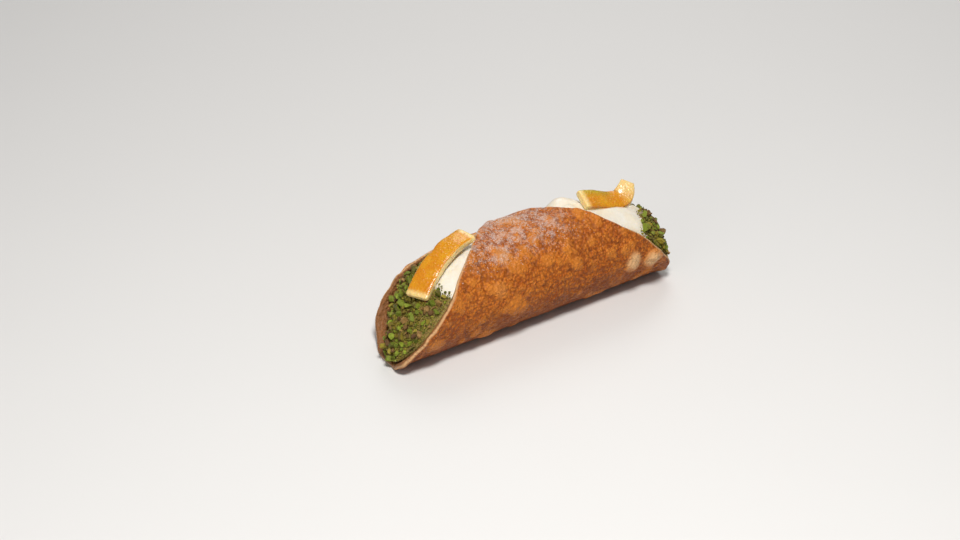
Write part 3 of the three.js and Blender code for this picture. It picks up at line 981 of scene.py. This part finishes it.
def chopped_kernel(random):
    """The points and faces of a kernel's piece, and which faces are still skin.

    An oval is cut by planes at random, as a knife does."""
    body = bmesh.new()
    bmesh.ops.create_icosphere(body, subdivisions=2, radius=1.0)
    for vert in body.verts:
        vert.co *= 1.0 + random.uniform(-0.05, 0.05)
        vert.co.y *= KERNEL_FLATNESS
    cuts = random.integers(*KERNEL_CUTS)
    for normal in random.normal(size=(cuts, 3)):
        normal /= np.linalg.norm(normal)
        where = {"plane_co": normal * random.uniform(*KERNEL_DEPTHS), "plane_no": normal}
        everything = [*body.verts, *body.edges, *body.faces]
        bmesh.ops.bisect_plane(body, geom=everything, clear_outer=True, **where)
        rim = [edge for edge in body.edges if edge.is_boundary]
        for face in bmesh.ops.contextual_create(body, geom=rim)["faces"]:
            face.material_index = 1
    bmesh.ops.remove_doubles(body, verts=list(body.verts), dist=0.03)
    return taken_out(body)


def broken_crumb(random):
    """The points and faces of a small angular crumb, which has no skin."""
    spots = unit(random.normal(size=(CRUMB_CORNERS, 3)))
    body = bmesh.new()
    for spot in spots * random.uniform(0.75, 1.0, (CRUMB_CORNERS, 1)):
        body.verts.new(spot)
    bmesh.ops.convex_hull(body, input=body.verts)
    bmesh.ops.delete(body, geom=[v for v in body.verts if not v.link_faces], context="VERTS")
    for face in body.faces:
        face.material_index = 1
    return taken_out(body)


def taken_out(body):
    """The points, faces and skin mask of a shape centred on its own middle."""
    bmesh.ops.recalc_face_normals(body, faces=body.faces)
    body.verts.index_update()
    points = np.array([v.co[:] for v in body.verts])
    points -= (points.min(axis=0) + points.max(axis=0)) / 2.0
    points /= np.linalg.norm(points, axis=1).max()
    faces = [[v.index for v in face.verts] for face in body.faces]
    skin = np.array([1.0 - face.material_index for face in body.faces])
    body.free()
    return points, faces, skin


def turned(random, count):
    """This many random rotations."""
    a, b, c, d = unit(random.normal(size=(count, 4))).T
    rows = (
        (1 - 2 * (c * c + d * d), 2 * (b * c - a * d), 2 * (b * d + a * c)),
        (2 * (b * c + a * d), 1 - 2 * (b * b + d * d), 2 * (c * d - a * b)),
        (2 * (b * d - a * c), 2 * (c * d + a * b), 1 - 2 * (b * b + c * c)),
    )
    return np.array(rows).transpose(2, 0, 1)


def lip_points(end):
    angles = np.arange(-180.0, 180.0, 1.5)
    reach = end * lip_at(angles, end)
    depths = (0.2, WALL * 0.5, WALL - 0.2)
    return np.concatenate([on_tube(reach, angles, OUTER_RADIUS + LIP_FLARE - d) for d in depths])


def nearest_gap(places, others):
    """The distance from each place to the nearest of the others."""
    gaps = np.empty(len(places))
    for start in range(0, len(places), GAP_BATCH):
        batch = slice(start, start + GAP_BATCH)
        away = np.linalg.norm(places[batch, None] - others[None], axis=2)
        gaps[batch] = away.min(axis=1)
    return gaps


def off_wall(places, radii, end):
    """Whether each bit lies clear of the pastry's inner face, or out past the lip."""
    angle = np.degrees(np.arctan2(-places[:, 1], places[:, 2] - AXIS_HEIGHT))
    reach = np.hypot(places[:, 1], places[:, 2] - AXIS_HEIGHT)
    past_lip = end * places[:, 0] > lip_at(angle, end) + radii
    return past_lip | (reach + radii * 0.7 < cream_radius(angle) + CREAM_CLEARANCE)


def scatter_coat(random, end):
    """(places, radii) of the pieces that coat one mouth, the largest first."""
    lips = lip_points(end)
    places, radii = np.zeros((0, 3)), np.zeros(0)
    for smallest, largest, tries, stand_off in NUT_SIZES:
        index = np.arange(tries)
        share = np.clip(np.sqrt((index + 0.5) / tries), 0.0, RIM_SHARE)
        angle = np.degrees(index * GOLDEN_ANGLE) + random.uniform(-JITTER, JITTER, tries)
        radius = lerp(smallest, largest, random.random(tries) ** 1.4)
        surface = on_heap(end, angle, share)
        spots = surface + heap_normals(end, angle, share) * (radius * stand_off)[:, None]
        keep = coat_edge(surface) > random.uniform(-2.0, 1.0, tries)
        keep &= nearest_gap(spots, lips) > radius + LIP_CLEARANCE
        keep &= off_wall(spots, radius, end) & clear_of_peel(end, spots, radius)
        for spot, size in zip(spots[keep], radius[keep]):
            room = (radii + size) * CROWDING
            if np.all(np.linalg.norm(places - spot, axis=1) > room):
                places = np.vstack((places, spot))
                radii = np.append(radii, size)
    return places, radii


def stray_nuts(random):
    """A few crumbs that fell on the bare cream beside each coat."""
    places, radii = [], []
    for end, count in STRAYS:
        angle = random.uniform(-STRAY_ANGLE, STRAY_ANGLE, count)
        share = random.uniform(*STRAY_SHARES, count)
        radius = random.uniform(*STRAY_RADII, count)
        surface = on_heap(end, angle, share)
        keep = coat_edge(surface) > random.uniform(*STRAY_REACH, count)
        keep &= clear_of_peel(end, surface, radius + 0.8)
        keep &= nearest_gap(surface, lip_points(end)) > radius + LIP_CLEARANCE
        places.append(surface[keep] + (0.0, 0.0, STRAY_HEIGHT))
        radii.append(radius[keep])
    return np.concatenate(places), np.concatenate(radii)


def joined_bits(random, places, radii, make_shape, thinnest):
    """One mesh of many small bits, with each one's tone and where it has skin."""
    shapes = [make_shape(random) for _ in range(NUT_SHAPES)]
    spins = turned(random, len(places))
    points, faces, tones, skins = [], [], [], []
    total = 0
    for place, radius, spin in zip(places, radii, spins):
        own_points, own_faces, skin = shapes[random.integers(NUT_SHAPES)]
        stretch = (1.0, random.uniform(NUT_NARROWEST, 1.0), random.uniform(thinnest, 1.0))
        points.append((own_points * stretch * radius) @ spin.T + place)
        faces.extend([[total + v for v in face] for face in own_faces])
        tones.append(np.full(len(own_faces), random.random()))
        skins.append(skin * random.uniform(0.5, 1.0))
        total += len(own_points)
    masks = {"tone": np.concatenate(tones), "skin": np.concatenate(skins)}
    return np.concatenate(points), faces, masks


def nut_material(name, light, deep, skin):
    """Nut flesh from a light to a deep colour, piece by piece, with patches of skin."""
    finish = Finish(name)
    fine = finish.shared("Grain", Scale=2200.0, Roughness=0.6)
    coarse = finish.shared("Grain", Scale=800.0, Roughness=0.5)
    patches = finish.shared("Blotches", Scale=800.0, Low=0.35, High=0.65, Warp=0.3)
    flesh = finish.mix(finish.mask("tone"), light, deep)
    flesh = finish.mix(patches, flesh, finish.mix(0.4, flesh, deep))
    wrinkles = finish.fade(coarse, 0.3, 0.7, 0.45, 0.95)
    sockets = {
        "Base Color": finish.layers(flesh, (finish.mask("skin"), wrinkles, skin)),
        "Roughness": finish.fade(fine, 0.3, 0.7, 0.45, 0.7),
        "Specular IOR Level": 0.25,
    }
    sockets |= depth_of_light(0.08, (0.6, 0.7, 0.2), 0.001)
    return finish.done(sockets, (coarse, 0.0005), (fine, 0.00018))


class PistachioSettings(bpy.types.PropertyGroup):
    seed: IntProperty(name="Seed", description="Chooses where the pieces lie", default=17)
    bright: colour_property("Bright", "Fresh cut faces", (0.32, 0.40, 0.040))
    green: colour_property("Green", "Deeper kernels", (0.105, 0.13, 0.010))
    yellow: colour_property("Yellow", "Yellowish kernels", (0.37, 0.30, 0.035))
    tan: colour_property("Tan", "Pale dry crumbs", (0.48, 0.29, 0.09))
    olive: colour_property("Olive", "Dull crumbs", (0.15, 0.11, 0.014))
    skin: colour_property("Skin", "The kernels' brown skin", (0.09, 0.04, 0.015))


class CANNOLO_OT_pistachio(bpy.types.Operator):
    """Adds the chopped pistachio that coats the cream in both mouths"""

    bl_idname = "cannolo.pistachio"
    bl_label = "Chopped pistachio"

    def execute(self, context):
        settings = context.scene.cannolo_pistachio
        random = np.random.default_rng(settings.seed)
        coats = [scatter_coat(random, -1), scatter_coat(random, 1), stray_nuts(random)]
        places, radii = (np.concatenate(parts) for parts in zip(*coats))
        draws = random.random(len(places))
        fine, dust = radii < CRUMB_RADIUS, radii < DUST_RADIUS
        light, dull = draws < 0.5, draws >= 0.8
        kinds = {
            "kernels": (~fine & light, chopped_kernel, settings.bright, settings.green),
            "halves": (~fine & ~light & ~dull, chopped_kernel, settings.yellow, settings.olive),
            "skins": (~fine & dull, chopped_kernel, settings.tan, settings.skin),
            "crumbs": (fine & ~dust, broken_crumb, settings.yellow, settings.green),
            "dust": (dust, broken_crumb, settings.tan, settings.olive),
        }
        for kind, (chosen, make_shape, bright, deep) in kinds.items():
            name = f"pistachio_{kind}"
            shape = joined_bits(random, places[chosen], radii[chosen], make_shape, NUT_THINNEST)
            material = nut_material(name, bright, deep, settings.skin)
            new_piece(context, name, shape, material, "FACE")
        return {"FINISHED"}


# ---- the candied peels ----

PEEL_RINGS = 110
PEEL_SIDES = 56
PEEL_CURVE_STEPS = 600
PEEL_END_STEPS = np.array((0.0, 0.05, 0.14, 0.28, 0.45, 0.65, 0.82))
PEEL_END_BULGE = 0.12
PEEL_PALE_END = 4.0
PEEL_NARROWING_LENGTH = 6.5
PEEL_TAPER = 0.3
PEEL_TAPER_POWER = 6
PEEL_CORNERS = (0.34, 0.42)  # how square its section is across and up
PEEL_END_ROUNDING = 0.8
PEEL_END_WIDTH = 0.86  # shares of what the middle has
PEEL_END_HEIGHT = 0.62
PEEL_WANDER = 0.07
PEEL_CROWN = 0.16
PEEL_EDGE_DROP = 0.22
UNRIPE_SIDE = (0.1, 0.8)
UNRIPE_LENGTH = (0.35, 0.7)
ZEST_BLEND = 0.65
STRIPS = {
    # zest_edge is how far down the sides the zest comes, from 1 at the top to -1 at the bottom,
    # pale_end how long the outer end's pale part is, narrowing how much width it loses there, and
    # unripe how green its back edge is.
    "near": {"end": -1, "width": 10.0, "zest_edge": 0.35, "pale_end": 4.0, "narrowing": 0.0,
             "unripe": 0.0, "seed": 71},
    "far": {"end": 1, "width": 9.8, "zest_edge": -0.15, "pale_end": 13.0, "narrowing": 0.4,
            "unripe": 0.85, "seed": 83},
}


def peel_shape(end, width, zest_edge, pale_end, narrowing, unripe, seed):
    """The points, faces and masks of one strip, with its zest on top."""
    line, roll = PEELS[end]
    dense = peel_curve(line, PEEL_CURVE_STEPS)
    length = np.linalg.norm(np.diff(dense, axis=0), axis=1).sum()
    middle = np.linspace(1.0, length - 1.0, PEEL_RINGS)
    stations = np.concatenate((PEEL_END_STEPS, middle, length - PEEL_END_STEPS[::-1]))
    along, to_outer_end = stations / length, length - stations
    curve = along_curve(along, np.linspace(0.0, 1.0, PEEL_CURVE_STEPS), dense)
    ahead, across, up = peel_frame(curve, roll)
    angle = np.linspace(0.0, 2.0 * np.pi, PEEL_SIDES, endpoint=False)
    side, rise = (
        np.sign(part) * np.abs(part) ** corner
        for part, corner in zip((np.cos(angle), np.sin(angle)), PEEL_CORNERS)
    )
    to_end = np.minimum(stations, to_outer_end)
    blunt = np.sqrt(1.0 - (1.0 - np.clip(to_end / PEEL_END_ROUNDING, 0.0, 1.0)) ** 2)
    taper = 1.0 - PEEL_TAPER * np.abs(2.0 * along - 1.0) ** PEEL_TAPER_POWER
    wander = 1.0 + PEEL_WANDER * value_noise(curve + seed, 6.0, seed)
    narrower = 1.0 - narrowing * (1.0 - ramp(0.0, PEEL_NARROWING_LENGTH, to_outer_end))
    half_width = width * 0.5 * wander * narrower * lerp(PEEL_END_WIDTH, 1.0, blunt)
    half_height = PEEL_THICKNESS * 0.5 * taper * lerp(PEEL_END_HEIGHT, 1.0, blunt)
    crown = PEEL_CROWN * (1.0 - side**2) - PEEL_EDGE_DROP * (np.abs(side) > 0.99)
    height = rise * half_height[:, None] + crown * (rise > 0.0)
    points = curve[:, None] + across[:, None] * (side * half_width[:, None])[..., None]
    points = points + up[:, None] * height[..., None]
    outward = across[:, None] * side[:, None] + up[:, None] * rise[:, None]
    lumps = 0.22 * layered_noise(points, 4.5, seed + 1, 2)
    lumps += 0.05 * value_noise(points, 0.9, seed + 3)
    points = points + outward * lumps[..., None] * blunt[:, None, None]
    bulges = np.array(((-PEEL_END_BULGE,), (PEEL_END_BULGE,)))
    middles = points[[0, -1]].mean(axis=1) + ahead[[0, -1]] * bulges
    points = np.concatenate((points.reshape(-1, 3), middles))
    faces = [[first, *others[::-1]] for first, *others in tube_faces(len(stations), PEEL_SIDES)]
    zest = ramp(zest_edge, zest_edge + ZEST_BLEND, rise)
    pale = 1.0 - ramp(0.3, PEEL_PALE_END, stations)
    pale = np.maximum(pale, 1.0 - ramp(0.3, pale_end, to_outer_end))
    green = unripe * ramp(*UNRIPE_SIDE, side) * (1.0 - ramp(*UNRIPE_LENGTH, along))[:, None]
    masks = {
        "zest": np.append(np.tile(zest, len(stations)), (0.3, 0.3)),
        "tip": np.append(np.repeat(pale, PEEL_SIDES), (1.0, 1.0)),
        "unripe": np.append(green, (0.0, 0.0)),
    }
    return points, faces, masks


def peel_material(settings):
    finish = Finish("candied_peel")
    pores = finish.shared("Bubbles", Scale=950.0, Warp=0.0003)
    fine = finish.shared("Grain", Scale=1300.0, Roughness=0.5)
    patches = finish.shared("Blotches", Scale=170.0, Low=0.35, High=0.68, Warp=0.5)
    flesh = finish.mix(patches, settings.zest, settings.amber)
    flesh = finish.mix(finish.mask("unripe"), flesh, settings.unripe)
    zest = finish.maths("ADD", finish.mask("zest"), finish.times(fine, 0.25))
    colour = finish.mix(finish.fade(zest, 0.3, 0.85), settings.pith, flesh)
    tip = finish.fade(finish.mask("tip"), 0.1, 1.0)
    sockets = {
        "Base Color": finish.layers(colour, (tip, 0.8, settings.pith)),
        "Roughness": finish.fade(fine, 0.3, 0.7, 0.16, 0.36),
        "Coat Weight": 0.25,
        "Coat Roughness": 0.12,
        "IOR": 1.47,
    }
    sockets |= depth_of_light(0.3, (1.0, 0.5, 0.12), 0.0025)
    return finish.done(sockets, (pores, 0.00016), (fine, 0.00014))


class PeelSettings(bpy.types.PropertyGroup):
    zest: colour_property("Zest", "The peel's outer side", (0.62, 0.225, 0.007))
    amber: colour_property("Amber", "Yellower patches of it", (0.68, 0.31, 0.010))
    pith: colour_property("Pith", "The pale side, cuts and ends", (0.86, 0.66, 0.28))
    unripe: colour_property("Unripe", "The peel where it's still green", (0.46, 0.35, 0.02))


class CANNOLO_OT_peels(bpy.types.Operator):
    """Adds a strip of candied orange peel in each mouth"""

    bl_idname = "cannolo.peels"
    bl_label = "Candied peels"

    def execute(self, context):
        material = peel_material(context.scene.cannolo_peel)
        for mouth, choices in STRIPS.items():
            name = f"candied_peel_{mouth}"
            piece = new_piece(context, name, peel_shape(**choices), material)
            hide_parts(f"peel_{mouth}")
        return {"FINISHED"}


# ---- the icing sugar ----

SUGAR_SEED = 29
SUGAR_RADII = (0.09, 0.3)
SUGAR_JITTER = 0.35
SUGAR_THINNEST = 0.5
SUGAR_SUNK = 0.25
SUGAR_PALER = 1.06


def read_values(rows, label, width):
    """The values that a mesh holds under this label."""
    values = np.empty(len(rows) * width)
    rows.foreach_get(label, values)
    return values.reshape(-1, width)


def sugar_places(random, count):
    """Where clumps of sugar lie on the pastry, with the way out of it there."""
    pastry = bpy.data.objects["fried_shell"].data
    points = read_values(pastry.vertices, "co", 3) / MM
    normals = read_values(pastry.vertices, "normal", 3)
    cover = read_values(pastry.attributes["sugar"].data, "value", 1)[:, 0]
    patchy = ramp(-0.5, 0.6, noise("sugar's patches", points))
    weight = cover**2.2 * (0.15 + patchy) * np.clip(normals[:, 2], 0.0, 1.0)
    chosen = random.choice(len(points), size=count, replace=False, p=weight / weight.sum())
    points, normals = points[chosen] - TUBE_PLACE, normals[chosen]
    sideways = np.cross(normals, random.normal(size=normals.shape))
    return points + sideways * SUGAR_JITTER, normals


def sugar_material(settings):
    finish = Finish("icing_sugar")
    fine = finish.shared("Grain", Scale=3500.0, Roughness=0.7)
    pale = [min(1.0, part * SUGAR_PALER) for part in settings.sugar_colour]
    sockets = {
        "Base Color": finish.mix(fine, settings.sugar_colour, pale),
        "Roughness": finish.fade(fine, 0.3, 0.7, 0.75, 0.95),
    }
    return finish.done(sockets, (fine, 0.00006))


class SugarSettings(bpy.types.PropertyGroup):
    clumps: IntProperty(name="Clumps", description="Clumps that stand off", default=2200, min=1)


class CANNOLO_OT_sugar(bpy.types.Operator):
    """Adds the small clumps in the icing sugar on top of the pastry"""

    bl_idname = "cannolo.sugar"
    bl_label = "Icing sugar"

    def execute(self, context):
        random = np.random.default_rng(SUGAR_SEED)
        places, normals = sugar_places(random, context.scene.cannolo_sugar.clumps)
        radii = lerp(*SUGAR_RADII, random.random(len(places)) ** 2.2)
        places = places + normals * (radii * SUGAR_SUNK)[:, None]
        shape = joined_bits(random, places, radii, broken_crumb, SUGAR_THINNEST)
        material = sugar_material(context.scene.cannolo_pastry)
        new_piece(context, "icing_sugar", shape, material, "FACE")
        return {"FINISHED"}


# ---- the stage ----

CAMERA_AROUND = math.radians(-37.09)
CAMERA_RISE = math.radians(28.68)
CAMERA_PLACE = (-0.6726, -0.8630, 0.6180)
CAMERA_NEAREST = 0.05
SENSOR_WIDTH = 36.0
LIGHTS = {
    # name: (place, size, watts, colour), each aimed at the middle of the tube
    "key": ((-0.2, -0.35, 0.8), 0.22, 7.2, (1.0, 0.97, 0.93)),
    "fill": ((-0.75, -0.35, 0.35), 0.5, 1.1, (1.0, 0.98, 0.96)),
    "rim": ((0.45, 0.5, 0.6), 0.5, 2.0, (1.0, 0.98, 0.95)),
}
FLOOR_SHADE = 0.985


def set_up(context, name, data, place, back):
    """Stands a lamp or a camera in its place, looking the other way from back."""
    stood = bpy.data.objects.new(name, data)
    stood.location = place
    stood.rotation_euler = Vector(back).to_track_quat("Z", "Y").to_euler()
    context.scene.collection.objects.link(stood)
    return stood


def add_camera(context, settings):
    data = bpy.data.cameras.new("camera")
    data.lens = settings.lens
    data.sensor_width = SENSOR_WIDTH
    data.clip_start = CAMERA_NEAREST
    back = (
        math.sin(CAMERA_AROUND) * math.cos(CAMERA_RISE),
        -math.cos(CAMERA_AROUND) * math.cos(CAMERA_RISE),
        math.sin(CAMERA_RISE),
    )
    context.scene.camera = set_up(context, "camera", data, CAMERA_PLACE, back)


def add_lights(context, settings):
    middle = Vector((0.0, 0.0, AXIS_HEIGHT * MM))
    for name, (place, size, watts, colour) in LIGHTS.items():
        data = bpy.data.lights.new(name, "AREA")
        data.shape = "DISK"
        data.size = size
        data.energy = watts * settings.brightness
        data.color = colour
        set_up(context, name, data, place, Vector(place) - middle)


def add_world(context, settings):
    world = bpy.data.worlds.new("studio")
    world.use_nodes = True
    surround = world.node_tree.nodes["Background"]
    surround.inputs["Color"].default_value = (1.0, 1.0, 1.0, 1.0)
    surround.inputs["Strength"].default_value = settings.surround
    context.scene.world = world


def floor_material(settings):
    finish = Finish("stage_floor")
    faint = finish.shared("Grain", Scale=12.0, Roughness=0.4)
    deeper = [part * FLOOR_SHADE for part in settings.floor]
    colour = finish.mix(faint, settings.floor, deeper)
    return finish.done({"Base Color": colour, "Roughness": 0.8})


class StageSettings(bpy.types.PropertyGroup):
    lens: FloatProperty(
        name="Lens", description="The camera's focal length", unit="CAMERA", default=112.5, min=10.0
    )
    brightness: FloatProperty(
        name="Brightness", description="Scales all three lamps", default=1.0, min=0.0
    )
    surround: FloatProperty(
        name="Surround", description="Light from all round", default=0.16, min=0.0
    )
    floor: colour_property("Floor", "The plain floor", (0.74, 0.74, 0.74))
    floor_width: FloatProperty(
        name="Floor width", description="The floor's side", unit="LENGTH", default=8.0, min=1.0
    )


class CANNOLO_OT_stage(bpy.types.Operator):
    """Adds a plain floor, soft light and the camera"""

    bl_idname = "cannolo.stage"
    bl_label = "Stage"

    def execute(self, context):
        settings = context.scene.cannolo_stage
        half = settings.floor_width / 2.0
        corners = [(-half, -half, 0.0), (half, -half, 0.0), (half, half, 0.0), (-half, half, 0.0)]
        mesh = bpy.data.meshes.new("stage_floor")
        mesh.from_pydata(corners, [], [(0, 1, 2, 3)])
        mesh.materials.append(floor_material(settings))
        floor = bpy.data.objects.new("stage_floor", mesh)
        context.scene.collection.objects.link(floor)
        add_camera(context, settings)
        add_lights(context, settings)
        add_world(context, settings)
        context.scene.view_settings.view_transform = "Standard"
        return {"FINISHED"}


# ---- the panel ----

SETTINGS = {
    "cannolo_pastry": PastrySettings,
    "cannolo_cream": CreamSettings,
    "cannolo_pistachio": PistachioSettings,
    "cannolo_peel": PeelSettings,
    "cannolo_sugar": SugarSettings,
    "cannolo_stage": StageSettings,
}
OPERATORS = (
    CANNOLO_OT_pastry,
    CANNOLO_OT_cream,
    CANNOLO_OT_pistachio,
    CANNOLO_OT_peels,
    CANNOLO_OT_sugar,
    CANNOLO_OT_stage,
)


class CANNOLO_PT_builder(bpy.types.Panel):
    """Lists each piece's button above its settings"""

    bl_idname = "CANNOLO_PT_builder"
    bl_label = "Cannolo"
    bl_space_type = "VIEW_3D"
    bl_region_type = "UI"
    bl_category = "Cannolo"

    def draw(self, context):
        for operator, (name, group) in zip(OPERATORS, SETTINGS.items()):
            box = self.layout.box()
            box.operator(operator.bl_idname)
            for setting in group.__annotations__:
                box.prop(getattr(context.scene, name), setting)


def register():
    for name, group in SETTINGS.items():
        bpy.utils.register_class(group)
        setattr(bpy.types.Scene, name, PointerProperty(type=group))
    for kind in (*OPERATORS, CANNOLO_PT_builder):
        bpy.utils.register_class(kind)


def unregister():
    for kind in (CANNOLO_PT_builder, *reversed(OPERATORS)):
        bpy.utils.unregister_class(kind)
    for name, group in reversed(SETTINGS.items()):
        delattr(bpy.types.Scene, name)
        bpy.utils.unregister_class(group)


def main():
    register()
    bpy.ops.cannolo.pastry()
    bpy.ops.cannolo.cream()
    bpy.ops.cannolo.pistachio()
    bpy.ops.cannolo.peels()
    bpy.ops.cannolo.sugar()
    bpy.ops.cannolo.stage()


if __name__ == "__main__":
    main()
